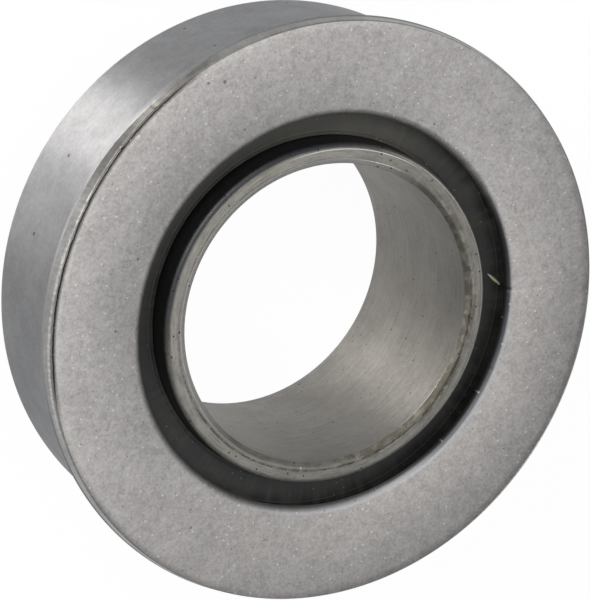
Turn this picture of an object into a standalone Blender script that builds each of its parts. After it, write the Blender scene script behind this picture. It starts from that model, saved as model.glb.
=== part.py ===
"""Flanged ball bearing for a small wheel hub: a drawn steel shell with a rolled
flange, a clinched face plate, two lip seals, a race, a riveted ribbon cage with
its balls, and an inner ring that stands proud at both ends.

Sizes are in metres. The bearing's axis is Z. It stands on the rear end of its
inner ring, at z = 0, with the flange and the face plate upwards.
"""

import math

import bmesh
import bpy

# Facets round the axis of each turned piece, round a ball and round a rivet
RING_STEPS = 48
BALL_STEPS = 12
BALL_RINGS = 8
RIVET_STEPS = 8

# How far a fillet's facets may stand off its true arc
FILLET_TOLERANCE = 0.00002

# Edges that turn more than this are shaded sharp
SHARP_TURN = math.radians(35)

# Clearances: faces that are seated, rolling play, and the seal lip on its land
SEAT_GAP = 0.00005
ROLLING_PLAY = 0.00004
SEAL_LIP_GAP = 0.0001

# Balls and the grooves they roll in
BALL_COUNT = 11
BALL_RADIUS = 0.002381
GROOVE_CONFORMITY = 1.04
GROOVE_STEPS = 6

# Inner ring
BORE_RADIUS = 0.009525
INNER_WALL_AT_GROOVE = 0.00086
INNER_GROOVE_DEPTH = 0.00049
BORE_CHAMFER = 0.0005
BORE_CHAMFER_DEPTH = 0.00028
INNER_RIM_ROUND = 0.0003
REAR_PROUD = 0.002
FRONT_PROUD = 0.00014

# Outer race
RACE_WALL_AT_GROOVE = 0.00108
RACE_GROOVE_DEPTH = 0.00067
RACE_EDGE = 0.00045
RACE_ROUND = 0.00025

# Lip seals, with one web and a bead that fills the space at each end
FRONT_BEAD_HEIGHT = 0.0018
REAR_BEAD_HEIGHT = 0.0012
SEAL_BEAD_WIDTH = 0.0017
SEAL_WEB = 0.0006
SEAL_WEB_OFFSET = 0.0002
SEAL_LIP_BEVEL = 0.0002

# Drawn shell
SHELL_WALL = 0.0011
SHELL_REAR_CORNER = 0.0008
SHELL_FLOOR_WIDTH = 0.00301
SHELL_HOLE_ROUND = 0.0003
FLANGE_REACH = 0.00117
FLANGE_FILLET = 0.0006
FLANGE_ROUND = 0.0004
LIP_WALL = 0.0003
LIP_TIP = 0.0001
LIP_LEAN = 0.00005
LIP_ROUND = 0.00015
CRIMP_HEIGHT = 0.0004

# Face plate
PLATE_THICKNESS = 0.0006
PLATE_HOLE_GAP = 0.00167
PLATE_HOLE_ROUND = 0.00045
PLATE_BURR_ROUND = 0.0001
PLATE_EDGE_CHAMFER = 0.00016

# Riveted ribbon cage
CAGE_SHEET = 0.00035
CAGE_WIDTH = 0.0021
POCKET_PLAY = 0.00015
CAGE_HALVES_GAP = 0.00004
POCKET_START = math.radians(9)
POCKET_STEPS = 8
RIVET_SHANK = 0.00035
RIVET_HEAD = 0.0006
RIVET_HEAD_HEIGHT = 0.00025
RIVET_PLAY = 0.00005

# Radii, worked out from the bore outwards
INNER_GROOVE_R = BORE_RADIUS + INNER_WALL_AT_GROOVE
LAND_R = INNER_GROOVE_R + INNER_GROOVE_DEPTH
PITCH_R = INNER_GROOVE_R + ROLLING_PLAY + BALL_RADIUS
RACE_GROOVE_R = PITCH_R + BALL_RADIUS + ROLLING_PLAY
SHOULDER_R = RACE_GROOVE_R - RACE_GROOVE_DEPTH
RACE_R = RACE_GROOVE_R + RACE_WALL_AT_GROOVE
SHELL_INNER_R = RACE_R + SEAT_GAP
SHELL_R = SHELL_INNER_R + SHELL_WALL
FLANGE_R = SHELL_R + FLANGE_REACH
LIP_INNER_R = FLANGE_R - LIP_WALL
PLATE_R = LIP_INNER_R - SEAT_GAP
PLATE_HOLE_R = LAND_R + PLATE_HOLE_GAP
SEAL_LIP_R = LAND_R + SEAL_LIP_GAP
GROOVE_ARC_R = BALL_RADIUS * GROOVE_CONFORMITY
POCKET_R = BALL_RADIUS + POCKET_PLAY

# Heights, stacked from the rear of the shell to the face
SHELL_REAR_Z = REAR_PROUD
REAR_SEAL_Z = SHELL_REAR_Z + SHELL_WALL + SEAT_GAP
RACE_Z = REAR_SEAL_Z + REAR_BEAD_HEIGHT + SEAT_GAP
BALL_Z = RACE_Z + RACE_EDGE + BALL_RADIUS
RACE_TOP_Z = BALL_Z + BALL_RADIUS + RACE_EDGE
FRONT_SEAL_Z = RACE_TOP_Z + SEAT_GAP
PLATE_Z = FRONT_SEAL_Z + FRONT_BEAD_HEIGHT + SEAT_GAP
FACE_Z = PLATE_Z + PLATE_THICKNESS
INNER_TOP_Z = FACE_Z + FRONT_PROUD


def clear_scene():
    """Remove every object of the scene."""
    for obj in list(bpy.data.objects):
        bpy.data.objects.remove(obj, do_unlink=True)


def new_collection(name):
    """Return a new collection linked under the scene's own."""
    collection = bpy.data.collections.new(name)
    bpy.context.scene.collection.children.link(collection)
    return collection


def metal(name, colour, roughness, metallic=1.0):
    """Return a Principled material of one colour."""
    material = bpy.data.materials.new(name)
    material.use_nodes = True
    shader = material.node_tree.nodes["Principled BSDF"]
    shader.inputs["Base Color"].default_value = (*colour, 1.0)
    shader.inputs["Roughness"].default_value = roughness
    shader.inputs["Metallic"].default_value = metallic
    return material


def filleted(corners):
    """Return a closed outline from (radius, height, fillet) corners. Each corner that
    has a fillet is rounded with an arc, no longer than half its shorter side."""
    points = []
    for index, (x, z, fillet) in enumerate(corners):
        if fillet <= 0:
            points.append((x, z))
            continue
        x0, z0, _ = corners[index - 1]
        x1, z1, _ = corners[(index + 1) % len(corners)]
        back, on = math.atan2(z0 - z, x0 - x), math.atan2(z1 - z, x1 - x)
        opening = (on - back + math.pi) % math.tau - math.pi
        length = fillet / math.tan(abs(opening) / 2)
        shortest = min(math.hypot(x0 - x, z0 - z), math.hypot(x1 - x, z1 - z))
        if length > shortest / 2:
            length = shortest / 2
            fillet = length * math.tan(abs(opening) / 2)
        bisector = back + opening / 2
        reach = math.hypot(length, fillet)
        cx, cz = x + reach * math.cos(bisector), z + reach * math.sin(bisector)
        turn = math.copysign(math.pi - abs(opening), -opening)
        first = back - math.copysign(math.pi / 2, opening)
        chord = 2 * math.acos(max(0.0, 1 - FILLET_TOLERANCE / fillet))
        steps = max(2, round(abs(turn) / chord))
        for step in range(steps + 1):
            angle = first + turn * step / steps
            points.append((cx + fillet * math.cos(angle), cz + fillet * math.sin(angle)))
    return points


def arc(cx, cz, radius, first, last, steps):
    """Return the points of an arc, from one angle to another."""
    angles = [first + (last - first) * step / steps for step in range(steps + 1)]
    return [(cx + radius * math.cos(a), cz + radius * math.sin(a)) for a in angles]


def add_object(name, mesh, material, collection):
    """Add a mesh as an object with its material."""
    obj = bpy.data.objects.new(name, mesh)
    mesh.materials.append(material)
    collection.objects.link(obj)
    return obj


def shade(obj):
    """Shade an object smooth, with its corners kept sharp."""
    obj.data.shade_smooth()
    obj.data.set_sharp_from_angle(angle=SHARP_TURN)


def apply_modifiers(obj):
    """Replace an object's mesh with its evaluated mesh."""
    graph = bpy.context.evaluated_depsgraph_get()
    mesh = bpy.data.meshes.new_from_object(obj.evaluated_get(graph))
    mesh.name = obj.name
    obj.modifiers.clear()
    obj.data = mesh


def turned(name, outline, material, collection, steps=RING_STEPS):
    """Turn an outline about Z with a Screw modifier. An outline whose ends lie on the
    axis stays open there, and any other one is closed."""
    on_axis = outline[0][0] == 0 and outline[-1][0] == 0
    count = len(outline)
    edges = [(i, (i + 1) % count) for i in range(count - 1 if on_axis else count)]
    mesh = bpy.data.meshes.new(name)
    mesh.from_pydata([(x, 0.0, z) for x, z in outline], edges, [])
    obj = add_object(name, mesh, material, collection)
    screw = obj.modifiers.new("Turn", "SCREW")
    screw.axis = "Z"
    screw.angle = math.tau
    screw.steps = screw.render_steps = steps
    screw.use_merge_vertices = True
    screw.merge_threshold = 0.00001
    apply_modifiers(obj)
    shade(obj)
    return obj


def groove(bottom_r, shoulder_r, outward):
    """Return a ball groove's outline from its upper edge to its lower edge. It is cut
    inwards from a land, or outwards from a shoulder."""
    side = 1 if outward else -1
    centre_r = bottom_r - side * GROOVE_ARC_R
    half = math.acos(abs(shoulder_r - centre_r) / GROOVE_ARC_R)
    middle = 0.0 if outward else math.pi
    return arc(centre_r, BALL_Z, GROOVE_ARC_R, middle + side * half, middle - side * half, GROOVE_STEPS)


def make_inner_ring(material, collection):
    """The turned inner ring, longer than the shell at both ends."""
    bore_edge = BORE_RADIUS + BORE_CHAMFER
    corners = [
        (bore_edge, INNER_TOP_Z, 0),
        (LAND_R, INNER_TOP_Z, INNER_RIM_ROUND),
        (LAND_R, 0.0, INNER_RIM_ROUND),
        (bore_edge, 0.0, 0),
        (BORE_RADIUS, BORE_CHAMFER_DEPTH, 0),
        (BORE_RADIUS, INNER_TOP_Z - BORE_CHAMFER_DEPTH, 0),
    ]
    outline = filleted(corners)
    first_below = next(i for i, (x, z) in enumerate(outline) if i > 0 and z < BALL_Z)
    outline[first_below:first_below] = groove(INNER_GROOVE_R, LAND_R, outward=False)
    return turned("inner_ring", outline, material, collection)


def make_outer_race(material, collection):
    """The turned race that fills the shell between the two seals."""
    corners = [
        (SHOULDER_R, RACE_TOP_Z, RACE_ROUND),
        (RACE_R, RACE_TOP_Z, RACE_ROUND),
        (RACE_R, RACE_Z, RACE_ROUND),
        (SHOULDER_R, RACE_Z, RACE_ROUND),
    ]
    outline = filleted(corners)
    outline += reversed(groove(RACE_GROOVE_R, SHOULDER_R, outward=True))
    return turned("outer_race", outline, material, collection)


def make_seal(name, foot_z, bead_height, up, material, collection):
    """A lip seal: a bead that is clamped on the race, and a web that reaches in to the
    land. Its foot is on the race, and its outer side faces up or down."""
    bead_r = RACE_R - SEAL_BEAD_WIDTH
    web_in = SEAL_WEB_OFFSET
    web_out = SEAL_WEB_OFFSET + SEAL_WEB
    corners = [
        (RACE_R, bead_height),
        (RACE_R, 0.0),
        (bead_r, 0.0),
        (bead_r, web_in),
        (SEAL_LIP_R + SEAL_LIP_BEVEL, web_in),
        (SEAL_LIP_R, web_in + SEAL_LIP_BEVEL),
        (SEAL_LIP_R, web_out),
        (bead_r, web_out),
        (bead_r, bead_height),
    ]
    if up:
        outline = [(x, foot_z + z) for x, z in corners]
    else:
        outline = [(x, foot_z - z) for x, z in reversed(corners)]
    return turned(name, outline, material, collection)


def make_shell(material, collection):
    """The drawn shell: a floor turned in at the rear, a straight wall, a flange turned
    out under the face plate, and a lip crimped in round the plate's edge."""
    hole_r = SHELL_INNER_R - SHELL_FLOOR_WIDTH
    floor_z = SHELL_REAR_Z + SHELL_WALL
    shelf_z = PLATE_Z - SEAT_GAP
    flange_z = shelf_z - LIP_WALL
    tip_r = LIP_INNER_R - LIP_LEAN
    corners = [
        (tip_r, FACE_Z, 0),
        (tip_r + LIP_TIP, FACE_Z, 0),
        (FLANGE_R, FACE_Z - CRIMP_HEIGHT, LIP_ROUND),
        (FLANGE_R, flange_z, FLANGE_ROUND),
        (SHELL_R, flange_z, FLANGE_FILLET),
        (SHELL_R, SHELL_REAR_Z, SHELL_REAR_CORNER),
        (hole_r, SHELL_REAR_Z, SHELL_HOLE_ROUND),
        (hole_r, floor_z, 0),
        (SHELL_INNER_R, floor_z, 0),
        (SHELL_INNER_R, shelf_z, 0),
        (LIP_INNER_R, shelf_z, 0),
        (LIP_INNER_R, FACE_Z - PLATE_EDGE_CHAMFER, 0),
    ]
    return turned("outer_shell", filleted(corners), material, collection)


def make_face_plate(material, collection):
    """The flat ring that closes the front, with its hole's edge rounded over."""
    corners = [
        (PLATE_R - PLATE_EDGE_CHAMFER, FACE_Z, 0),
        (PLATE_R, FACE_Z - PLATE_EDGE_CHAMFER, 0),
        (PLATE_R, PLATE_Z, 0),
        (PLATE_HOLE_R, PLATE_Z, PLATE_BURR_ROUND),
        (PLATE_HOLE_R, FACE_Z, PLATE_HOLE_ROUND),
    ]
    return turned("face_plate", filleted(corners), material, collection)


def ball_angle(index):
    """The angle of a ball round the axis."""
    return math.tau * index / BALL_COUNT


def make_balls(material, collection):
    """The balls, each with its origin at its own centre."""
    for index in range(BALL_COUNT):
        name = f"ball_{index + 1:02d}"
        mesh = bpy.data.meshes.new(name)
        ball = bmesh.new()
        bmesh.ops.create_uvsphere(ball, u_segments=BALL_STEPS, v_segments=BALL_RINGS, radius=BALL_RADIUS)
        ball.to_mesh(mesh)
        ball.free()
        obj = add_object(name, mesh, material, collection)
        mesh.shade_smooth()
        angle = ball_angle(index)
        obj.location = (PITCH_R * math.cos(angle), PITCH_R * math.sin(angle), BALL_Z)


def ribbon_columns():
    """The ribbon's stations from one ball to the next: each gives how far round its
    pocket it is, as a share of the pocket's own half width and height."""
    columns = []
    for step in range(POCKET_STEPS + 1):
        angle = POCKET_START + (math.pi - 2 * POCKET_START) * step / POCKET_STEPS
        columns.append((-math.cos(angle), math.sin(angle)))
    return columns


def make_cage_half(name, up, cutter, material, collection):
    """One ribbon of the cage. A flat strip is bent over every ball, given the sheet's
    thickness on the side away from the balls, and drilled for its rivets."""
    columns = ribbon_columns()
    side = 1 if up else -1
    per_ball = len(columns)
    total = per_ball * BALL_COUNT
    offsets = (-CAGE_WIDTH / 2, 0.0, CAGE_WIDTH / 2)
    mesh = bpy.data.meshes.new(name)
    strip = bmesh.new()
    rows = []
    for offset in offsets:
        radius = PITCH_R + offset
        pocket = math.sqrt(POCKET_R**2 - offset**2)
        row = []
        for number in range(total):
            along, height = columns[number % per_ball]
            angle = ball_angle(number // per_ball) + pocket * along / radius
            lift = CAGE_HALVES_GAP / 2
            if 0 < number % per_ball < per_ball - 1:
                lift = max(lift, pocket * height)
            place = (radius * math.cos(angle), radius * math.sin(angle), BALL_Z + side * lift)
            row.append(strip.verts.new(place))
        rows.append(row)
    for inner, outer in zip(rows, rows[1:]):
        for number in range(total):
            after = (number + 1) % total
            corners = (inner[number], outer[number], outer[after], inner[after])
            strip.faces.new(corners if up else corners[::-1])
    strip.to_mesh(mesh)
    strip.free()
    obj = add_object(name, mesh, material, collection)
    sheet = obj.modifiers.new("Sheet", "SOLIDIFY")
    sheet.thickness = CAGE_SHEET
    sheet.offset = 1.0
    sheet.use_even_offset = True
    holes = obj.modifiers.new("Rivet holes", "BOOLEAN")
    holes.operation = "DIFFERENCE"
    holes.solver = "EXACT"
    holes.object = cutter
    apply_modifiers(obj)
    shade(obj)
    return obj


def make_rivet_cutter(collection):
    """One mesh with a round bar for each rivet hole of the cage."""
    mesh = bpy.data.meshes.new("rivet_holes")
    bars = bmesh.new()
    radius = RIVET_SHANK + RIVET_PLAY
    for index in range(BALL_COUNT):
        angle = ball_angle(index + 0.5)
        made = bmesh.ops.create_cone(
            bars, cap_ends=True, segments=RIVET_STEPS, radius1=radius, radius2=radius, depth=BALL_RADIUS
        )
        place = (PITCH_R * math.cos(angle), PITCH_R * math.sin(angle), BALL_Z)
        bmesh.ops.translate(bars, verts=made["verts"], vec=place)
    bars.to_mesh(mesh)
    bars.free()
    cutter = bpy.data.objects.new("rivet_holes", mesh)
    cutter.hide_render = True
    cutter.display_type = "WIRE"
    collection.objects.link(cutter)
    return cutter


def make_rivets(material, collection):
    """The rivets that hold the two ribbons together between the balls."""
    grip = CAGE_HALVES_GAP / 2 + CAGE_SHEET + SEAT_GAP
    top = grip + RIVET_HEAD_HEIGHT
    outline = [
        (0, top),
        (RIVET_HEAD / 2, top),
        (RIVET_HEAD, grip),
        (RIVET_SHANK, grip),
        (RIVET_SHANK, -grip),
        (RIVET_HEAD, -grip),
        (RIVET_HEAD / 2, -top),
        (0, -top),
    ]
    for index in range(BALL_COUNT):
        rivet = turned(f"cage_rivet_{index + 1:02d}", outline, material, collection, RIVET_STEPS)
        angle = ball_angle(index + 0.5)
        rivet.location = (PITCH_R * math.cos(angle), PITCH_R * math.sin(angle), BALL_Z)


def main():
    """Build the bearing."""
    clear_scene()
    bearing = new_collection("flange_bearing")
    cutters = new_collection("cutters")
    shell_steel = metal("shell_steel", (0.38, 0.37, 0.36), 0.35)
    plate_steel = metal("plate_steel", (0.42, 0.41, 0.40), 0.5)
    ring_steel = metal("ring_steel", (0.34, 0.32, 0.30), 0.4)
    ball_steel = metal("ball_steel", (0.6, 0.6, 0.6), 0.1)
    cage_steel = metal("cage_steel", (0.5, 0.49, 0.46), 0.3)
    seal_rubber = metal("seal_rubber", (0.03, 0.03, 0.03), 0.7, metallic=0.0)
    make_shell(shell_steel, bearing)
    make_face_plate(plate_steel, bearing)
    make_outer_race(ring_steel, bearing)
    make_inner_ring(ring_steel, bearing)
    make_seal("front_seal", FRONT_SEAL_Z, FRONT_BEAD_HEIGHT, True, seal_rubber, bearing)
    make_seal("rear_seal", RACE_Z - SEAT_GAP, REAR_BEAD_HEIGHT, False, seal_rubber, bearing)
    make_balls(ball_steel, bearing)
    holes = make_rivet_cutter(cutters)
    make_cage_half("cage_front", True, holes, cage_steel, bearing)
    make_cage_half("cage_rear", False, holes, cage_steel, bearing)
    make_rivets(cage_steel, bearing)


main()
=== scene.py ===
"""Looks of a flanged ball bearing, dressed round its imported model.

Each operator makes one piece, or one group of like pieces, at its full smoothness and
with its own finish, and the piece rides on the body of the solid that it stands for.
Sizes are in metres, in the model's own axes: the bearing's axis is Z, and it stands on
the rear end of its inner ring at z = 0, with the face plate upwards.
"""

import math

import bmesh
import bpy
from mathutils import Matrix, Vector, noise


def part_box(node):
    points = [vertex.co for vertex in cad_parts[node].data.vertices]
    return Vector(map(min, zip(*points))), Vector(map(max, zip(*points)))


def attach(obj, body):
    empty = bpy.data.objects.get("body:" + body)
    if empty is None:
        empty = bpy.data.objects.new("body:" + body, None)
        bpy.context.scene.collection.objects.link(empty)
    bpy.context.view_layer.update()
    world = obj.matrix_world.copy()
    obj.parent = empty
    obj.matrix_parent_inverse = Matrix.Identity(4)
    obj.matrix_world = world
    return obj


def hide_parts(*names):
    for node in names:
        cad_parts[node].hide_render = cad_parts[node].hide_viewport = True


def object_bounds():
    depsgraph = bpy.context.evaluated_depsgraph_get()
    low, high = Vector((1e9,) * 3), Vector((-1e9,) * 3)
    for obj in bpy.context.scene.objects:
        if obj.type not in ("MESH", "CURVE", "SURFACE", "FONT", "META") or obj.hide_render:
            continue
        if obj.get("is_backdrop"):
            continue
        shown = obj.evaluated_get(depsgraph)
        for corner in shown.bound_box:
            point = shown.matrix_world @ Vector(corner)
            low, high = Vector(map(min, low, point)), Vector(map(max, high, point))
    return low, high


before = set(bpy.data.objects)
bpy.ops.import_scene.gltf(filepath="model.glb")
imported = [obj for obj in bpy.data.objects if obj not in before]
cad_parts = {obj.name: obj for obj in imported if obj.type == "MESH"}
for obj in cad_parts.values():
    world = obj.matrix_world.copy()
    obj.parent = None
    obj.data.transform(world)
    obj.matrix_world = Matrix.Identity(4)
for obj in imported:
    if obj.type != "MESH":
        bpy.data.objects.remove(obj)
CAD_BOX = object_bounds()

bl_info = {
    "name": "Flanged Ball Bearing",
    "version": (1, 0, 0),
    "blender": (4, 5, 0),
    "location": "View3D > Sidebar > Bearing",
    "description": "Makes a flanged ball bearing and the studio round it",
    "category": "Add Mesh",
}

SHELL_LOW, SHELL_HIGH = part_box("outer_shell")
PLATE_LOW, PLATE_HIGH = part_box("face_plate")
_, RING_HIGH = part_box("inner_ring")
RACE_LOW, RACE_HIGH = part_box("outer_race")
FRONT_SEAL_LOW, FRONT_SEAL_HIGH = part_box("front_seal")
REAR_SEAL_LOW, REAR_SEAL_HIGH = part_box("rear_seal")
BALL_LOW, BALL_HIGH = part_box("ball_01")
BALL_REACH = (BALL_HIGH[0] - BALL_LOW[0]) / 2
BALL_COUNT = sum(1 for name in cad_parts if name.startswith("ball_"))

# Shapes: the turn from which a corner is sharp, the angle over which the open seam ends, the
# share of a side that its fillets may take, and the reach within which turned points join.
SHARP_TURN = math.radians(32)
GAPE_SOFTNESS = math.radians(5)
SIDE_SHARE = 0.98
MERGE_REACH = 0.000005

# Finishes: gloss drawn out along the axis, the step in the noise from one way of the dashes
# to the next, the softness of a dash's ends and of the pick of cells, and a dot's full part.
ROUND_BRUSH = {"anisotropic_rotation": 0.25}
DASH_LAYER = 0.001
DASH_EDGE = 0.1
PICK_EDGE = 0.001
DOT_CORE = 0.5


def maker(kind, **settled):
    """A function that makes settings of one kind from a name, a description and a default."""
    def make(name, description, default, **more):
        return kind(name=name, description=description, default=default, **settled, **more)
    return make


length = maker(bpy.props.FloatProperty, min=0.0, precision=5, unit="LENGTH")
slant = maker(bpy.props.FloatProperty, subtype="ANGLE")
power = maker(bpy.props.FloatProperty, unit="POWER")
number = maker(bpy.props.FloatProperty)
count = maker(bpy.props.IntProperty)
point = maker(bpy.props.FloatVectorProperty, size=3, subtype="TRANSLATION")
tint = maker(bpy.props.FloatVectorProperty, size=3, min=0.0, max=1.0, subtype="COLOR")


class BearingSizes(bpy.types.PropertyGroup):
    """Sizes of the turned, pressed and rolled pieces."""

    facets: count("Facets", "Facets round the axis of each turned piece", 288, min=48)
    crimp_facets: count("Crimp facets", "Facets round the shell and the face plate", 1080, min=96)
    fillet_facets: count("Fillet facets", "Facets of one rounded corner", 6, min=2)
    shell_wall: length("Shell wall", "Thickness of the shell", 0.0011)
    shell_radius: length("Shell radius", "Outside of the shell's straight wall", 0.017457)
    shell_hole: length("Shell hole", "Radius of the hole in the shell's floor", 0.013347)
    shell_corner: length("Shell corner", "Rounding of the shell's rear corner", 0.0008)
    shell_hole_round: length("Shell hole rounding", "Rounding of the rear hole's edge", 0.0003)
    flange_round: length("Flange rounding", "Rounding of the flange's rear edge", 0.0004)
    flange_fillet: length("Flange fillet", "Fillet between the wall and the flange", 0.0006)
    lip_wall: length("Lip wall", "Thickness of the crimped lip and of the flange", 0.0003)
    lip_round: length("Lip rounding", "Rounding at the foot of the lip's slope", 0.0005)
    lip_draw: length("Lip draw", "How far the slope's foot stays inside the flange", 0.00005)
    crimp_height: length("Crimp height", "Height of the lip's sloping side", 0.00054)
    crimp_slack: length("Crimp slack", "How much higher the slope's foot is on one side", 0.00024)
    seam: length("Seam", "Mean radius of the seam between the lip and the plate", 0.018325)
    seam_shift: length("Seam shift", "How far the seam lies to one side", 0.00003)
    seam_squeeze: length("Seam squeeze", "How far the seam is pressed in across its axis", 0.000125)
    seam_axis: slant("Seam axis", "Direction of the seam's shift", math.radians(100))
    seam_gap: length("Seam gap", "Width of the seam where it is open", 0.00005)
    seam_rag: length("Seam raggedness", "How far the open seam runs in and out", 0.00007)
    gape_middle: slant("Open middle", "Middle of the stretch where the seam is open", math.radians(281))
    gape_reach: slant("Open reach", "Half the stretch where the seam is open", math.radians(33))
    plate_hole: length("Plate hole", "Radius of the face plate's hole", 0.012545)
    plate_hole_shift: length("Hole shift", "How much tighter the hole is on one side", 0.00018)
    plate_hole_round: length("Plate hole rounding", "Rounding of the hole's front edge", 0.00045)
    plate_burr_round: length("Plate burr rounding", "Rounding of the hole's rear edge", 0.0001)
    plate_roll: length("Plate roll-off", "Width over which the plate's edge rolls down", 0.0004)
    plate_drop: length("Plate drop", "How far the plate's edge rolls down", 0.000008)
    plate_chamfer: length("Plate chamfer", "Chamfer round the plate", 0.00016)
    seal_bead: length("Seal bead", "Width of the seal's clamped bead", 0.0017)
    seal_web: length("Seal web", "Thickness of the seal's web", 0.0006)
    seal_web_offset: length("Web offset", "From the seal's foot to its web", 0.0002)
    seal_lip_gap: length("Lip gap", "Gap between the seal's lip and the inner ring", 0.00002)
    seal_lip_bevel: length("Lip bevel", "Bevel of the seal's lip", 0.0002)
    seal_rib: length("Seal rib", "Height of the thin ribs moulded on the web", 0.00002)
    seal_rib_width: length("Seal rib width", "Width of the thin ribs", 0.00014)
    seal_outer_rib: length("Outer rib", "Radius of the outer rib", 0.01272)
    seal_inner_rib: length("Inner rib", "Radius of the inner rib", 0.01116)
    fibre_length: length("Fibre length", "Length of the fibre caught on the seal", 0.00136)
    fibre_width: length("Fibre width", "Width of the fibre caught on the seal", 0.0002)
    bore: length("Bore", "Radius of the inner ring's bore", 0.009525)
    bore_chamfer: length("Bore chamfer", "Width of the chamfer at both mouths of the bore", 0.0003)
    bore_chamfer_depth: length("Chamfer depth", "Depth of the chamfer at the bore's mouths", 0.00016)
    ring_round: length("Rim rounding", "Rounding of the inner ring's rims", 0.0003)
    inner_groove: length("Inner groove", "Radius at the bottom of the inner groove", 0.010385)
    outer_groove: length("Outer groove", "Radius at the bottom of the outer groove", 0.015227)
    shoulder: length("Shoulder", "Radius of the outer race's shoulders", 0.014557)
    race_round: length("Race rounding", "Rounding of the outer race's corners", 0.00025)
    conformity: number("Conformity", "Groove radius over ball radius", 1.04, min=1.0)
    pocket_play: length("Pocket play", "Gap between a ball and its pocket", 0.00015)
    ribbon_sheet: length("Ribbon sheet", "Thickness of the cage's ribbon", 0.00035)
    ribbon_width: length("Ribbon width", "Width of the cage's ribbon", 0.0021)
    ribbon_gap: length("Ribbon gap", "Gap between the two ribbons", 0.00004)
    pocket_start: slant("Pocket start", "Where round a ball the ribbon leaves the flat", math.radians(9))
    rivet_shank: length("Rivet shank", "Radius of a rivet's shank", 0.00035)
    rivet_head: length("Rivet head", "Radius of a rivet's head", 0.0006)
    rivet_head_height: length("Rivet head height", "Height of a rivet's head", 0.00025)
    rivet_play: length("Rivet play", "Gap between a rivet and the ribbons", 0.00005)


class BearingColours(bpy.types.PropertyGroup):
    """Colours of the finishes."""

    plate: tint("Plate steel", "Tumbled steel of the face plate", (0.355, 0.339, 0.329))
    shell: tint("Shell steel", "Drawn steel of the shell", (0.345, 0.345, 0.35))
    crimp: tint("Crimped steel", "Pressed steel of the lip's slope", (0.34, 0.335, 0.33))
    ring: tint("Ring steel", "Ground steel of the inner ring", (0.30, 0.287, 0.266))
    rim: tint("Rim steel", "Browned steel of the inner ring's rims", (0.29, 0.278, 0.252))
    # Also laid as painted shade: on one side of the face plate, along the plate's edge, on the lip's slope
    # and on the near rim.
    patina_and_shade: tint("Patina", "Brown film on the rims and the crimp", (0.10, 0.09, 0.07))
    # Painted reflection: a pale blue tint laid on the plate hole's rounding on one side.
    painted_sky_tint: tint("Smooth edge", "Cool pale steel of the plate's rounded hole", (0.40, 0.42, 0.46))
    # Laid only as painted shade: at the top of the plate hole's rounding, on the lip's slope, and on and
    # under the inner ring's near rim edge.
    painted_shade_tint: tint("Grime", "Blue-black grime on the hole and under the rim", (0.042, 0.044, 0.048))
    rust: tint("Rust", "Rust and old grease in the pits", (0.03, 0.022, 0.016))
    # Also laid as painted highlights: on the plate hole's rounding, along the shell's ridge, beside the
    # lip's seam, and on the inner ring's rim edges.
    wear_and_highlight: tint("Worn edge", "Steel rubbed bright", (0.78, 0.76, 0.73))
    race: tint("Race steel", "Hardened steel of the outer race", (0.42, 0.41, 0.40))
    ball: tint("Ball steel", "Polished steel of the balls", (0.62, 0.62, 0.63))
    cage: tint("Cage steel", "Pressed strip of the cage", (0.48, 0.46, 0.42))
    rubber: tint("Seal rubber", "Rubber of the seals", (0.012, 0.0125, 0.0125))
    dust: tint("Dust", "Dust on the seals", (0.058, 0.056, 0.047))
    crumbs: tint("Crumbs", "Pale crumbs on the seals", (0.2, 0.2, 0.18))
    fibre: tint("Fibre", "Dry fibre caught on the seal", (0.36, 0.37, 0.22))


class StudioSettings(bpy.types.PropertyGroup):
    """Camera, floor and lamps."""

    lens: number("Lens", "Focal length on a 36 mm frame", 305.08, unit="CAMERA")
    distance: length("Distance", "From the camera to the point it looks at", 0.306005)
    elevation: slant("Elevation", "Height of the camera's view", math.radians(59.405))
    roll: slant("Roll", "Turn of the camera about its own view", math.radians(122.565))
    aim: point("Aim", "Point in the middle of the view", (0.000333, -0.00209, 0.01202))
    floor_reach: length("Floor reach", "Half the floor's width", 3.0)
    floor_colour: tint("Floor", "Colour of the floor", (0.9, 0.9, 0.9))
    floor_glow: number("Floor whiteness", "Share of plain white in the floor as it is seen", 0.97, max=1.0)
    sky: number("Room light", "Brightness of the room", 0.3)
    sky_colour: tint("Room colour", "Colour of the room's light", (0.92, 0.96, 1.0))
    ceiling: power("Overhead lamp", "Power of the lamp overhead", 1.16)
    lamp_colour: tint("Low lamps' colour", "Colour of the low lamps", (1.0, 0.975, 0.945))
    window: power("Low lamp", "Power of the low lamp", 1.06)
    window_edge: power("Side lamp", "Power of the weaker lamp beside the low one", 0.34)


class Term:
    """A value in a finish. Sums, differences, products and quotients of terms and
    numbers add their Math nodes."""

    def __init__(self, finish, socket):
        self.finish = finish
        self.socket = socket

    def __add__(self, other):
        return self.finish.maths("ADD", self, other)

    def __radd__(self, other):
        return self.finish.maths("ADD", other, self)

    def __sub__(self, other):
        return self.finish.maths("SUBTRACT", self, other)

    def __rsub__(self, other):
        return self.finish.maths("SUBTRACT", other, self)

    def __mul__(self, other):
        return self.finish.maths("MULTIPLY", self, other)

    def __rmul__(self, other):
        return self.finish.maths("MULTIPLY", other, self)

    def __truediv__(self, other):
        return self.finish.maths("DIVIDE", self, other)

    def __rtruediv__(self, other):
        return self.finish.maths("DIVIDE", other, self)

    def between(self, low, high):
        """0 below low, 1 above high, and smooth in between. Low may be above high."""
        return self.finish.node(
            "ShaderNodeMapRange",
            {"interpolation_type": "SMOOTHSTEP"},
            {"Value": self, "From Min": low, "From Max": high},
        )


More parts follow.
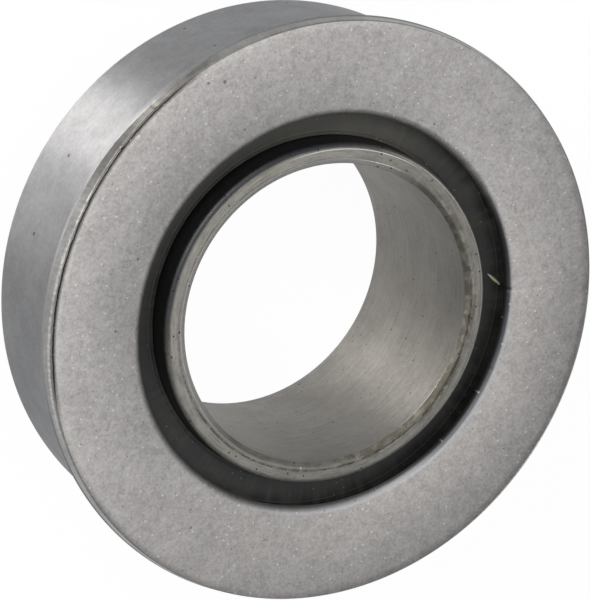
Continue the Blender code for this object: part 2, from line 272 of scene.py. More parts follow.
class Finish:
    """A material made of terms, round one Principled shader. Its colour is laid on in
    coats, one over the other."""

    def __init__(self, name, colour, roughness, **plain):
        self.material = bpy.data.materials.new(name)
        self.material.use_nodes = True
        self.tree = self.material.node_tree
        self.shader = self.tree.nodes["Principled BSDF"]
        self.colour = self.base = tuple(colour)
        self.set("Base Color", (*self.colour, 1.0))
        self.set("Roughness", roughness)
        for socket, value in plain.items():
            self.set(socket.replace("_", " ").title().replace("Ior", "IOR"), value)

    def feed(self, socket, value):
        """Link a term to a socket, or set the socket to a plain value."""
        if isinstance(value, Term):
            self.tree.links.new(value.socket, socket)
        else:
            socket.default_value = value

    def set(self, socket, value):
        """Feed one of the shader's own sockets."""
        self.feed(self.shader.inputs[socket], value)

    def node(self, kind, settings=None, values=None, output=0):
        """Add a node and return one of its outputs, or a list where several are named.
        The settings come first, then the values or terms of the sockets, by name or by
        place."""
        made = self.tree.nodes.new(kind)
        for name, value in (settings or {}).items():
            setattr(made, name, value)
        for name, value in (values or {}).items():
            self.feed(made.inputs[name], value)
        if isinstance(output, tuple):
            return [Term(self, made.outputs[name]) for name in output]
        return Term(self, made.outputs[output])

    def maths(self, operation, *values):
        """Add a Math node."""
        return self.node("ShaderNodeMath", {"operation": operation}, dict(enumerate(values)))

    def most(self, mask, *others):
        """The highest of some masks."""
        for other in others:
            mask = self.maths("MAXIMUM", mask, other)
        return mask

    def blend(self, mask, under, over, mode="MIX"):
        """Lay one colour over another by a mask."""
        under, over = (c if isinstance(c, Term) else (*c, 1.0) for c in (under, over))
        settings = {"data_type": "RGBA", "blend_type": mode}
        return self.node("ShaderNodeMix", settings, {0: mask, 6: under, 7: over}, 2)

    def shade(self, tone):
        """Make the finish's own colour lighter and darker by a tone."""
        self.base = self.blend(1.0, self.colour, self.vector(tone, tone, tone), "MULTIPLY")

    def lay(self, colour, mask):
        """Lay a coat of a colour over what the finish has so far."""
        self.base = self.blend(mask, self.base, tuple(colour))

    def done(self, roughness, height, distance):
        """Feed the coats, the roughness and the relief to the shader."""
        self.set("Base Color", self.base)
        self.set("Roughness", roughness)
        bump = {"Height": height, "Distance": distance, "Strength": 1.0}
        self.set("Normal", self.node("ShaderNodeBump", values=bump, output="Normal"))
        return self.material

    def place(self):
        """Find the place on the piece, and return its x, y, z and distance from the axis."""
        self.here = self.node("ShaderNodeTexCoord", output="Object")
        split = self.node("ShaderNodeSeparateXYZ", values={0: self.here}, output=(0, 1, 2))
        self.x, self.y, self.z = split
        self.radius = self.maths("SQRT", self.x * self.x + self.y * self.y)
        return self.x, self.y, self.z, self.radius

    def vector(self, x, y, z):
        """Join three terms in a vector."""
        return self.node("ShaderNodeCombineXYZ", values={0: x, 1: y, 2: z})

    def flat(self):
        """The place without its height."""
        return self.vector(self.x, self.y, 0.0)

    def wall(self):
        """A round wall laid flat: the length round it and the height."""
        return self.vector(self.maths("ARCTAN2", self.y, self.x) * self.radius, self.z, 0.0)

    def grain(self, where, scale, detail=2.0, roughness=0.5):
        """Noise of that many cells in a metre."""
        values = {"Vector": where, "Scale": scale, "Detail": detail, "Roughness": roughness}
        return self.node("ShaderNodeTexNoise", values=values)

    def patches(self, scale, detail=2.0, roughness=0.5, edge=0.3):
        """Soft patches of noise all over the piece."""
        return self.grain(self.here, scale, detail, roughness).between(edge, 1 - edge)

    def towards(self, degrees):
        """The cosine of the angle from a direction round the axis."""
        angle = math.radians(degrees)
        return (self.x * math.cos(angle) + self.y * math.sin(angle)) / self.radius

    def side(self, degrees, low, high):
        """A mask of one side: the cosines of the angles where it starts and is full."""
        return self.towards(degrees).between(low, high)

    def band(self, value, low, high, soft):
        """A mask of 1 between two values, with soft edges outside them."""
        return value.between(low - soft, low) * value.between(high + soft, high)

    def dots(self, flat, scale, size, share):
        """A mask of small round dots on a flat place: their cells in a metre, the radius
        of a dot in metres, and the share of the cells that hold one."""
        reach, colour = self.node(
            "ShaderNodeTexVoronoi", {"voronoi_dimensions": "2D"}, {"Vector": flat, "Scale": scale},
            ("Distance", "Color"),
        )
        pick = self.node("ShaderNodeSeparateColor", values={0: colour})
        chosen = pick.between(1 - share - PICK_EDGE, 1 - share + PICK_EDGE)
        return chosen * reach.between(size * scale, size * scale * DOT_CORE)

    def spots(self, places):
        """Masks of single round spots, from (place, size) pairs."""
        for place, size in places:
            reach = self.node(
                "ShaderNodeVectorMath", {"operation": "DISTANCE"}, {0: self.here, 1: place}, "Value"
            )
            yield reach.between(size, size * DOT_CORE)

    def dashes(self, degrees, scale, stretch, share):
        """A mask of short straight marks that all run one way."""
        angle = math.radians(degrees)
        along = (self.x * math.cos(angle) + self.y * math.sin(angle)) / stretch
        across = self.y * math.cos(angle) - self.x * math.sin(angle)
        where = self.vector(along, across, degrees * DASH_LAYER)
        return self.grain(where, scale, 1.0).between(1 - share, 1 - share + DASH_EDGE)

    def seam(self, sizes):
        """How far outside the seam a place lies, negative inside it, in metres."""
        lean = self.towards(math.degrees(sizes.seam_axis))
        return self.radius - (sizes.seam + sizes.seam_squeeze + lean * sizes.seam_shift
                              - lean * lean * (2 * sizes.seam_squeeze))

    def opened(self, sizes):
        """A mask of the stretch where the seam is open."""
        return self.side(math.degrees(sizes.gape_middle), 0.74, 0.9)


def polar(radius, degrees, height):
    """A place from its distance to the axis, its angle round it and its height."""
    angle = math.radians(degrees)
    return (radius * math.cos(angle), radius * math.sin(angle), height)


# Single marks of wear, and one painted glint. Pits are (radius, degrees, size) on the plate and (degrees,
# height, size) on the wall. Scratches are (radius, lean, degrees of the lean, degrees of the middle). The
# glint is a place and a size.
PLATE_PITS = ((0.0169, 240.2, 0.00015), (0.0174, 243.4, 0.00012), (0.0141, 303.3, 0.00013))
WALL_PITS = ((271.1, 0.006, 0.00015), (288.3, 0.006, 0.00016))
RIM_SCRATCHES = ((0.010475, 0.0002, 115.0, 205.0), (0.009775, 0.00028, 120.0, 210.0))
RIM_GLINT = (polar(0.0099, 26.0, 0.0126), 0.00014)


def plate_finish(colours, sizes):
    """Tumbled steel: mottled at several scales, with short marks that run five ways,
    bright specks, dark pits and grime at the seam. Painted shade darkens one side of the face,
    its rolled-down edge on another side and the top of the hole's rounding, and the rounding
    has a painted pale blue reflection and a painted highlight."""
    finish = Finish("tumbled_steel", colours.plate, 0.42, metallic=1.0)
    _, _, z, radius = finish.place()
    flat = finish.flat()
    blotch = finish.patches(420.0)
    mottle = finish.patches(1500.0, roughness=0.6)
    sand = finish.patches(5600.0, 3.0, 0.75)
    marks = [finish.dashes(way, 4300.0, 3.0, 0.42) for way in (12.0, 48.0, 85.0, 121.0, 158.0)]
    pale, dark = marks[0] + marks[2] + marks[4], marks[1] + marks[3]
    finish.shade(0.77 + blotch * 0.09 + mottle * 0.13 + sand * 0.27 + pale * 0.05 - dark * 0.07)
    # Painted shade: the face darker towards one side.
    film = finish.side(70.0, -0.4, 0.9)
    # Painted shade: a darker band along the plate's rolled-down outer edge on one side.
    painted_edge_shade = radius.between(0.0179, 0.0185) * finish.side(344.0, 0.78, 0.97)
    grime = finish.seam(sizes).between(-0.0003, -0.0001) * finish.opened(sizes)
    hole = radius.between(0.01305, 0.01285)
    # Painted reflection: a pale blue tint on the hole's rounding on one side.
    smooth = hole * finish.side(75.0, 0.3, 0.8)
    # Painted highlight: a paler strip on the hole's rounding on one side.
    painted_hole_highlight = hole * finish.side(45.0, 0.8, 0.95)
    # Painted shade: the top of the hole's rounding made dark on one side.
    rounding = z.between(PLATE_HIGH[2] - 0.00001, PLATE_HIGH[2] - 0.0001) * hole
    painted_hole_shade = rounding * finish.side(112.0, 0.55, 0.86)
    pits = finish.most(
        finish.dots(flat, 900.0, 0.0001, 0.02),
        finish.dots(flat, 2600.0, 0.00006, 0.03),
        *finish.spots((polar(r, degrees, PLATE_HIGH[2]), size) for r, degrees, size in PLATE_PITS),
    )
    specks = finish.dots(flat, 2100.0, 0.00008, 0.1)
    # Coats: painted shade on one side and along the edge, grime at the seam, a painted reflection and a
    # painted highlight on the hole's rounding, painted shade at its top, pits and specks.
    finish.lay(colours.patina_and_shade, film * 0.14)
    finish.lay(colours.patina_and_shade, painted_edge_shade * 0.45)
    finish.lay(colours.rust, grime * 0.55)
    finish.lay(colours.painted_sky_tint, smooth * 0.45)
    finish.lay(colours.wear_and_highlight, painted_hole_highlight * 0.12)
    finish.lay(colours.painted_shade_tint, painted_hole_shade * 0.9)
    finish.lay(colours.rust, pits * 0.5)
    finish.lay(colours.wear_and_highlight, specks * 0.42)
    return finish.done(
        roughness=0.29 + mottle * 0.02 + pits * 0.2 + grime * 0.3 + hole * 0.23,
        height=sand + specks + pale * 0.1 - dark * 0.1 - pits * 3.0, distance=0.0000008,
    )


def shell_finish(colours, sizes):
    """Drawn steel: a smooth wall with faint clouds, fine grain and a few pits, and a
    painted highlight along the ridge in front."""
    finish = Finish("drawn_steel", colours.shell, 0.5, metallic=1.0, anisotropic=1.0, **ROUND_BRUSH)
    x, y, z, radius = finish.place()
    drawn = finish.grain(finish.vector(x * 0.08, y * 0.08, z), 5200.0, 3.0, 0.6)
    cloud = finish.patches(230.0, 3.0, 0.6)
    patch = finish.patches(900.0, 3.0, 0.6)
    fine = finish.patches(3600.0, 3.0, 0.65, 0.25)
    finish.shade(0.76 + drawn * 0.1 + cloud * 0.14 + patch * 0.08 + fine * 0.16)
    pits = finish.most(
        finish.dots(finish.wall(), 420.0, 0.00011, 0.05),
        *finish.spots((polar(sizes.shell_radius, degrees, z), size) for degrees, z, size in WALL_PITS),
    )
    # Painted highlight: a pale line laid along the ridge on the front side.
    ridge = radius.between(0.0185, 0.01856) * finish.band(z, 0.01193, 0.01215, 0.00004)
    finish.lay(colours.rust, pits * 0.7)
    finish.lay(colours.wear_and_highlight, ridge * finish.side(296.0, 0.9, 0.98) * 0.3)
    return finish.done(
        roughness=0.47 + fine * 0.04 + pits * 0.2,
        height=drawn * 0.3 + fine * 0.3 - pits, distance=0.000004,
    )


def crimp_finish(colours, sizes):
    """The lip's slope: streaked across by the crimping tool, with a darker film that is partly
    painted shade on one side, painted shade on its inner half in front, grime beside the open
    seam, and a painted highlight beside the seam on one side."""
    finish = Finish("crimped_steel", colours.crimp, 0.4, metallic=1.0)
    x, y, z, _ = finish.place()
    streak = finish.grain(finish.vector(x, y, z * 0.12), 4200.0, 3.0, 0.65).between(0.25, 0.75)
    finish.shade(0.76 + streak * 0.28 + finish.patches(420.0) * 0.2)
    seam = finish.seam(sizes)
    # Partly a darker film and partly painted shade, darker on one side.
    tan_film_and_shade = finish.side(240.0, 0.8, 0.96)
    # Painted shade: the slope's inner half made darker in front.
    painted_slope_shade = finish.side(257.0, 0.94, 0.985) * seam.between(0.0007, 0.00045)
    grime = seam.between(0.00013, 0.00005) * finish.opened(sizes)
    # Painted highlight: a bright line beside the seam on one side.
    burr = finish.band(seam, 0.00014, 0.00019, 0.00003) * finish.side(304.0, 0.92, 0.98)
    finish.lay(colours.patina_and_shade, tan_film_and_shade * 0.3)
    finish.lay(colours.patina_and_shade, painted_slope_shade * 0.4)
    finish.lay(colours.painted_shade_tint, painted_slope_shade * 0.25)
    finish.lay(colours.rust, grime * 0.45)
    finish.lay(colours.wear_and_highlight, burr * (0.1 + streak * 0.5))
    return finish.done(roughness=0.42 + streak * 0.1 + grime * 0.2, height=streak, distance=0.000006)


def ring_finish(colours):
    """Ground steel with brush lines round it and a few pits, browner on the far side."""
    finish = Finish("ground_steel", colours.ring, 0.45, metallic=1.0, anisotropic=0.9, **ROUND_BRUSH)
    x, y, z, _ = finish.place()
    lines = finish.grain(finish.vector(x * 0.03, y * 0.03, z), 8000.0, 3.0, 0.7).between(0.3, 0.7)
    cloud = finish.patches(300.0)
    patch = finish.patches(1100.0, 3.0, 0.6)
    fine = finish.patches(3600.0, 3.0, 0.6, 0.25)
    finish.shade(0.72 + lines * 0.18 + cloud * 0.12 + patch * 0.1 + fine * 0.14)
    wall = finish.wall()
    pits = finish.dots(wall, 1100.0, 0.00009, 0.04)
    pits = finish.most(pits, finish.dots(wall, 3200.0, 0.00006, 0.03))
    finish.lay(colours.patina_and_shade, finish.side(130.0, 0.5, 0.95) * 0.12)
    finish.lay(colours.rust, pits * 0.6)
    return finish.done(
        roughness=0.43 + fine * 0.05 + pits * 0.2,
        height=lines * 0.6 + fine * 0.4 - pits, distance=0.000006,
    )


def rim_finish(colours):
    """Browned steel of the rims and the bore's mouths: turning lines, a film that is
    thickest at the mouth, painted shade on the near edge and under the rim, a broken belt of
    rust, scratches that are rubbed bright, and painted highlights on edges and in one spot."""
    finish = Finish("browned_steel", colours.rim, 0.5, metallic=1.0)
    x, y, z, radius = finish.place()
    flat = finish.flat()
    across = finish.vector(x * 0.1, y * 0.1, radius - z)
    turning = finish.grain(across, 7000.0, 3.0, 0.7).between(0.3, 0.7)
    cloud = finish.patches(500.0)
    patch = finish.patches(1600.0, 3.0, 0.6)
    fine = finish.patches(4200.0, 3.0, 0.65, 0.25)
    finish.shade(0.6 + turning * 0.36 + cloud * 0.14 + patch * 0.18 + fine * 0.22)
    right = finish.towards(50.0)
    near_side, far_side = finish.side(255.0, 0.2, 0.85), finish.side(105.0, 0.0, 0.8)
    mouth = radius.between(0.00995, 0.0098) * (0.25 + far_side * 0.4)
    # Painted shade: the outer part of the rim darker on the near side.
    painted_near_shade = radius.between(0.0103, 0.0107) * near_side
    top_side = finish.side(165.0, 0.7, 0.95)
    # The film adds the painted shade of the near edge, and is also darker towards two other sides.
    film = 0.12 + mouth + right.between(-0.2, 0.9) * 0.15 + painted_near_shade * 0.8 + top_side * 0.2
    smudge = radius.between(0.01045, 0.0101) * (0.1 + far_side * 0.6)
    smudge = smudge * (cloud * 0.6 + patch * 0.9).between(0.4, 1.1)
    # Painted shade: the rim's outer edge made nearly black on the near side.
    outer = radius.between(0.01048, 0.01064) * near_side
    # Painted highlight: a pale line along the bore's edge on the near side.
    inner = radius.between(0.0099, 0.0098) * finish.side(265.0, -0.1, 0.5)
    # Painted shade: the ring's wall below the rim made nearly black all round.
    under = radius.between(0.01, 0.0101) * z.between(RING_HIGH[2] - 0.0002, RING_HIGH[2] - 0.0004)
    broken = finish.grain(flat, 2300.0, 3.0, 0.7).between(0.38, 0.58)
    belt = finish.band(radius - finish.towards(20.0) * 0.00011, 0.00993, 0.01, 0.00007)
    belt = belt * (0.25 + broken * 0.75) * (0.2 + right.between(-0.5, 0.4) * 0.45)
    pits = finish.most(belt, finish.dots(flat, 2600.0, 0.00008, 0.06) * 0.8)
    # Painted highlight: the first line here, along the rim's outer edge on one side. The scratches after
    # it are wear, and the spot added below is a painted glint on the chamfer's edge.
    rubbed = [finish.band(radius, 0.01066, 0.01071, 0.00003) * 0.7 * finish.side(132.0, 0.35, 0.8)]
    for middle, lean, way, window in RIM_SCRATCHES:
        track = radius - finish.towards(way) * lean
        line = finish.band(track, middle - 0.00001, middle + 0.00001, 0.00003)
        rubbed.append(line * finish.side(window, 0.88, 0.97) * 0.7)
    rubbed = finish.most(*rubbed, *finish.spots([RIM_GLINT]))
    # Coats: the film, partly painted shade on the near side; the smudge; painted shade on the near rim
    # edge; a painted highlight on the near bore edge; painted shade under the rim; rust; then wear and
    # painted highlights.
    finish.lay(colours.patina_and_shade, film * (0.55 + patch * 0.45))
    finish.lay(colours.patina_and_shade, smudge)
    finish.lay(colours.painted_shade_tint, outer * 0.95)
    finish.lay(colours.wear_and_highlight, inner * 0.6)
    finish.lay(colours.painted_shade_tint, under * 0.9)
    finish.lay(colours.rust, pits)
    finish.lay(colours.wear_and_highlight, rubbed)
    return finish.done(
        roughness=0.46 + fine * 0.1 - rubbed * 0.1,
        height=turning * 0.4 + fine * 0.6 + patch * 0.4 - pits * 1.5, distance=0.000008,
    )


def rubber_finish(colours):
    """Moulded rubber under a thin film of dust, thicker in front and streaked towards
    the axis, with a few pale crumbs."""
    finish = Finish("seal_rubber", colours.rubber, 0.5, metallic=0.0, specular_ior_level=0.35)
    x, y, _, radius = finish.place()
    unit = 0.012 / radius
    streak = finish.grain(finish.vector(x * unit, y * unit, radius * 0.1), 2600.0, 3.0, 0.6)
    cloud = finish.grain(finish.here, 700.0, 3.0, 0.6)
    film = (streak * 0.5 + cloud * 0.6).between(0.4, 0.8)
    crumbs = finish.dots(finish.flat(), 2800.0, 0.00006, 0.04)
    finish.lay(colours.dust, film * 0.5 + finish.side(235.0, 0.3, 0.9) * 0.7)
    finish.lay(colours.crumbs, crumbs * 0.45)
    return finish.done(
        roughness=0.45 + film * 0.2,
        height=streak * 0.6 + cloud * 0.4 + crumbs * 0.4, distance=0.00001,
    )


def fibre_finish(colours):
    """A dry fibre, lighter and darker along its length."""
    finish = Finish("dry_fibre", colours.fibre, 0.7, metallic=0.0)
    finish.place()
    strand = finish.grain(finish.here, 9000.0, 3.0, 0.6)
    finish.shade(0.6 + strand * 0.8)
    return finish.done(roughness=0.6 + strand * 0.2, height=strand, distance=0.00001)


def bright_finish(colours, kind, roughness, scale):
    """Bright steel with a fine grain, for the pieces inside."""
    finish = Finish(f"{kind}_steel", getattr(colours, kind), roughness, metallic=1.0)
    finish.place()
    fine = finish.grain(finish.here, scale, 3.0, 0.6)
    finish.shade(0.85 + fine * 0.3)
    return finish.done(roughness=roughness + fine * 0.08, height=fine, distance=0.000003)


def filleted(corners, facets):
    """A closed outline from (radius, height, fillet) corners, each with a fillet drawn
    as an arc. Where two fillets need more room than the side between them, they shrink."""
    count = len(corners)
    sides, openings, backs = [], [], []
    for index, (x, z, fillet) in enumerate(corners):
        x0, z0, _ = corners[index - 1]
        x1, z1, _ = corners[(index + 1) % count]
        back, on = math.atan2(z0 - z, x0 - x), math.atan2(z1 - z, x1 - x)
        opening = (on - back + math.pi) % math.tau - math.pi
        backs.append(back)
        openings.append(opening)
        sides.append(fillet / math.tan(abs(opening) / 2))
    lengths = [math.dist(corners[n][:2], corners[(n + 1) % count][:2]) for n in range(count)]
    points = []
    for index, (x, z, fillet) in enumerate(corners):
        if fillet <= 0:
            points.append((x, z))
            continue
        before = lengths[index - 1] / (sides[index - 1] + sides[index])
        after = lengths[index] / (sides[index] + sides[(index + 1) % count])
        room = min(1.0, SIDE_SHARE * before, SIDE_SHARE * after)
        side, fillet, opening, back = sides[index] * room, fillet * room, openings[index], backs[index]
        reach = math.hypot(side, fillet)
        bisector = back + opening / 2
        cx, cz = x + reach * math.cos(bisector), z + reach * math.sin(bisector)
        turn = math.copysign(math.pi - abs(opening), -opening)
        first = back - math.copysign(math.pi / 2, opening)
        points += arc(cx, cz, fillet, first, first + turn, facets)
    return points


def arc(cx, cz, radius, first, last, steps):
    """The points of an arc, from one angle to another."""
    angles = [first + (last - first) * n / steps for n in range(steps + 1)]
    return [(cx + radius * math.cos(a), cz + radius * math.sin(a)) for a in angles]


def meshed(name, sheet):
    """Turn a bmesh into a mesh."""
    mesh = bpy.data.meshes.new(name)
    sheet.to_mesh(mesh)
    sheet.free()
    return mesh


def finished(name, mesh, material):
    """Add a mesh to the scene as a piece with its finish."""
    obj = bpy.data.objects.new(name, mesh)
    if not mesh.materials:
        mesh.materials.append(material)
    bpy.context.scene.collection.objects.link(obj)
    return obj


def applied(obj):
    """Put an object's evaluated mesh in place of its own."""
    graph = bpy.context.evaluated_depsgraph_get()
    mesh = bpy.data.meshes.new_from_object(obj.evaluated_get(graph))
    mesh.name = obj.name
    obj.modifiers.clear()
    obj.data = mesh
    return obj


def shaded(obj):
    """Shade a piece smooth, with its corners kept sharp."""
    obj.data.shade_smooth()
    obj.data.set_sharp_from_angle(angle=SHARP_TURN)
    return obj


def turned(name, outline, facets, material):
    """Turn an outline about Z. One whose ends lie on the axis stays open there."""
    on_axis = outline[0][0] == 0 and outline[-1][0] == 0
    count = len(outline)
    edges = [(n, (n + 1) % count) for n in range(count - 1 if on_axis else count)]
    mesh = bpy.data.meshes.new(name)
    mesh.from_pydata([(x, 0.0, z) for x, z in outline], edges, [])
    obj = finished(name, mesh, material)
    screw = obj.modifiers.new("Turn", "SCREW")
    screw.axis = "Z"
    screw.angle = math.tau
    screw.steps = screw.render_steps = facets
    screw.use_merge_vertices = True
    screw.merge_threshold = MERGE_REACH
    return shaded(applied(obj))


def lofted(name, outline_at, facets, materials, second_rows=()):
    """Sweep an outline round Z that changes with the angle. Some rows of faces take the
    second finish."""
    sheet = bmesh.new()
    rings = []
    for number in range(facets):
        angle = math.tau * number / facets
        across, along = math.cos(angle), math.sin(angle)
        rings.append([sheet.verts.new((x * across, x * along, z)) for x, z in outline_at(angle)])
    for ring, after in zip(rings, rings[1:] + rings[:1]):
        for row in range(len(ring)):
            on = (row + 1) % len(ring)
            face = sheet.faces.new((ring[row], ring[on], after[on], after[row]))
            face.material_index = 1 if row in second_rows else 0
    bmesh.ops.recalc_face_normals(sheet, faces=sheet.faces)
    mesh = meshed(name, sheet)
    for material in materials:
        mesh.materials.append(material)
    return shaded(finished(name, mesh, materials[0]))


def near(angle, middle, reach, soft):
    """1 near a direction round the axis, and smoothly 0 away from it."""
    off = abs((angle - middle + math.pi) % math.tau - math.pi)
    share = min(1.0, max(0.0, (reach + soft - off) / (2 * soft)))
    return share * share * (3 - 2 * share)


def gape(sizes, angle):
    """How open the seam is, from 0 to 1."""
    return near(angle, sizes.gape_middle, sizes.gape_reach, GAPE_SOFTNESS)


def seam_radius(sizes, angle):
    """The radius of the seam between the lip and the plate, uneven from the crimping."""
    turn = angle - sizes.seam_axis
    return sizes.seam + sizes.seam_shift * math.cos(turn) - sizes.seam_squeeze * math.cos(2 * turn)


def seam_rag(sizes, angle):
    """How far the open seam's edge runs in or out."""
    coarse, fine = wander(angle, waves=150.0, seed=3.0), wander(angle, waves=480.0, seed=7.0)
    return gape(sizes, angle) * sizes.seam_rag * (0.6 * coarse + 0.5 * fine)


def wander(angle, waves, seed):
    """A smooth run of noise round the axis, from -1 to 1."""
    where = Vector((math.cos(angle) * waves / math.tau, math.sin(angle) * waves / math.tau, seed))
    return noise.noise(where)


def stands_for(piece, body, slot, *nodes):
    """Tie a piece to its body and to the solids it stands for, which it hides. The slot is not used."""
    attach(piece, body)
    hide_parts(*nodes)


def ball_place(number):
    """The centre of a ball or, halfway between two numbers, of a rivet."""
    low, high = Vector(BALL_LOW), Vector(BALL_HIGH)
    centre = (low + high) / 2
    return Matrix.Rotation(math.tau * number / BALL_COUNT, 3, "Z") @ centre


def groove(sizes, bottom, shoulder, outward, steps=24):
    """A ball groove's outline from its upper edge to its lower edge."""
    side = 1 if outward else -1
    radius = BALL_REACH * sizes.conformity
    centre = bottom - side * radius
    half = math.acos(abs(shoulder - centre) / radius)
    middle = 0.0 if outward else math.pi
    return arc(centre, ball_place(0).z, radius, middle + side * half, middle - side * half, steps)


class BEARING_OT_studio(bpy.types.Operator):
    """Set up the floor, the room, the lamps and the camera"""

    bl_idname = "bearing.studio"
    bl_label = "Studio"

    def execute(self, context):
        studio = context.scene.studio_settings
        self.make_floor(studio)
        self.make_room(context.scene, studio)
        self.make_lamps(context.scene, studio)
        self.make_camera(context.scene, studio)
        context.scene.view_settings.view_transform = "Standard"
        return {"FINISHED"}

    def make_floor(self, studio):
        """A wide pale floor. What the camera, gloss and glass see of it is mixed with
        plain white, and the rest of it keeps the object's shadow."""
        sheet = bmesh.new()
        bmesh.ops.create_grid(sheet, x_segments=8, y_segments=8, size=studio.floor_reach)
        finish = Finish("floor_paper", studio.floor_colour, roughness=0.8)
        rays = ("Is Camera Ray", "Is Glossy Ray", "Is Transmission Ray")
        seen = finish.most(*finish.node("ShaderNodeLightPath", output=rays))
        white = finish.node("ShaderNodeEmission", values={"Color": (1.0, 1.0, 1.0, 1.0)})
        paper = Term(finish, finish.shader.outputs[0])
        share = seen * studio.floor_glow
        mixed = finish.node("ShaderNodeMixShader", values={0: share, 1: paper, 2: white})
        finish.feed(finish.tree.nodes["Material Output"].inputs["Surface"], mixed)
        finished("studio_floor", meshed("studio_floor", sheet), finish.material)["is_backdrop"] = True

    def make_room(self, scene, studio):
        """A plain pale room."""
        scene.world = bpy.data.worlds.new("studio_room")
        scene.world.use_nodes = True
        background = scene.world.node_tree.nodes["Background"]
        background.inputs["Color"].default_value = (*studio.sky_colour, 1.0)
        background.inputs["Strength"].default_value = studio.sky

    def make_lamps(self, scene, studio):
        """A wide lamp overhead, whose edge the face shows, and a low lamp in front with
        a weaker one beside it, which give the wall and the bore their bright bands."""
        over = {"high": 0.5, "away": 0.5, "elevation": 86.0, "aside": -0.05}
        low = {"high": 0.16, "away": 0.4, "elevation": 36.0, "colour": studio.lamp_colour}
        self.add_lamp(scene, "overhead_lamp", studio.ceiling, wide=0.5, azimuth=90.0, **over)
        self.add_lamp(scene, "low_lamp", studio.window, wide=0.15, azimuth=258.5, **low)
        self.add_lamp(scene, "side_lamp", studio.window_edge, wide=0.19, azimuth=285.0, **low)

    def add_lamp(
        self, scene, name, power, wide, high, away, azimuth, elevation, aside=0.0, colour=(1.0, 1.0, 1.0)
    ):
        """Add an area lamp that looks at the bearing from a distance and two angles,
        moved aside along X."""
        lamp = bpy.data.lights.new(name, "AREA")
        lamp.shape = "RECTANGLE"
        lamp.size, lamp.size_y = wide, high
        lamp.energy = power
        lamp.color = colour
        obj = bpy.data.objects.new(name, lamp)
        across, up = math.radians(azimuth), math.radians(elevation)
        offset = Vector((math.cos(across) * math.cos(up), math.sin(across) * math.cos(up), math.sin(up)))
        obj.location = offset * away + Vector((aside, 0.0, 0.0))
        obj.rotation_euler = offset.to_track_quat("Z", "Y").to_euler()
        scene.collection.objects.link(obj)

    def make_camera(self, scene, studio):
        """The camera of the photograph, rolled about its own view."""
        data = bpy.data.cameras.new("photo_camera")
        data.sensor_fit = "HORIZONTAL"
        data.sensor_width = 36.0
        data.lens = studio.lens
        data.clip_start = 0.01
        data.clip_end = 20.0
        camera = bpy.data.objects.new("photo_camera", data)
        back = Vector((0.0, -math.cos(studio.elevation), math.sin(studio.elevation)))
        turn = back.to_track_quat("Z", "Y").to_matrix() @ Matrix.Rotation(studio.roll, 3, "Z")
        place = Vector(studio.aim) + back * studio.distance
        camera.matrix_world = Matrix.Translation(place) @ turn.to_4x4()
        scene.collection.objects.link(camera)
        scene.camera = camera


class BEARING_OT_shell(bpy.types.Operator):
    """Make the drawn shell, with its flange and its crimped lip"""

    bl_idname = "bearing.shell"
    bl_label = "Shell"

    nick_angle = math.radians(264.5)
    nick_reach = math.radians(0.35)
    nick_depth = 0.00009
    slack_angle = math.radians(251)
    slack_reach = math.radians(10)
    tip_share = 0.13
    bevel_share = 0.22
    tip_rounds = (0.00002, 0.00003, 0.00005)
    edge_round = 0.0001

    def execute(self, context):
        self.sizes = context.scene.bearing_sizes
        colours = context.scene.bearing_colours
        materials = [shell_finish(colours, self.sizes), crimp_finish(colours, self.sizes)]
        points = self.sizes.fillet_facets + 1
        slope = range(points, 3 * points)
        piece = lofted("drawn_shell", self.outline_at, self.sizes.crimp_facets, materials, slope)
        stands_for(piece, "outer", "shell_steel", "outer_shell")
        return {"FINISHED"}

    def outline_at(self, angle):
        """The shell's section, from the lip's tip out and down, and back up inside. Its
        tip follows the uneven seam and has one nick, and on one side the slope's foot
        stays higher."""
        sizes = self.sizes
        face, rear = PLATE_HIGH[2], SHELL_LOW[2]
        shelf = PLATE_LOW[2] - (FRONT_SEAL_LOW[2] - RACE_HIGH[2])
        flange, flange_z = SHELL_HIGH[0], shelf - sizes.lip_wall
        inside = sizes.shell_radius - sizes.shell_wall
        ridge = flange - sizes.lip_draw
        nick = near(angle, self.nick_angle, self.nick_reach, self.nick_reach)
        tip = seam_radius(sizes, angle) + seam_rag(sizes, angle) + nick * self.nick_depth
        top = face - sizes.plate_drop * (1 - gape(sizes, angle))
        room = ridge - tip
        bevel = self.bevel_share * room
        slack = near(angle, self.slack_angle, self.slack_reach, self.slack_reach)
        foot = face - sizes.crimp_height + sizes.crimp_slack * slack
        corners = [
            (tip, top, self.tip_rounds[0]),
            (tip + self.tip_share * room, top, self.tip_rounds[1]),
            (tip + self.tip_share * room + bevel, top - bevel, self.tip_rounds[2]),
            (ridge, foot, sizes.lip_round),
            (flange, foot - 2 * sizes.lip_draw, self.edge_round),
            (flange, flange_z, sizes.flange_round),
            (sizes.shell_radius, flange_z, sizes.flange_fillet),
            (sizes.shell_radius, rear, sizes.shell_corner),
            (sizes.shell_hole, rear, sizes.shell_hole_round),
            (sizes.shell_hole, rear + sizes.shell_wall, 0),
            (inside, rear + sizes.shell_wall, 0),
            (inside, shelf, 0),
            (tip, shelf, 0),
        ]
        return filleted(corners, sizes.fillet_facets)


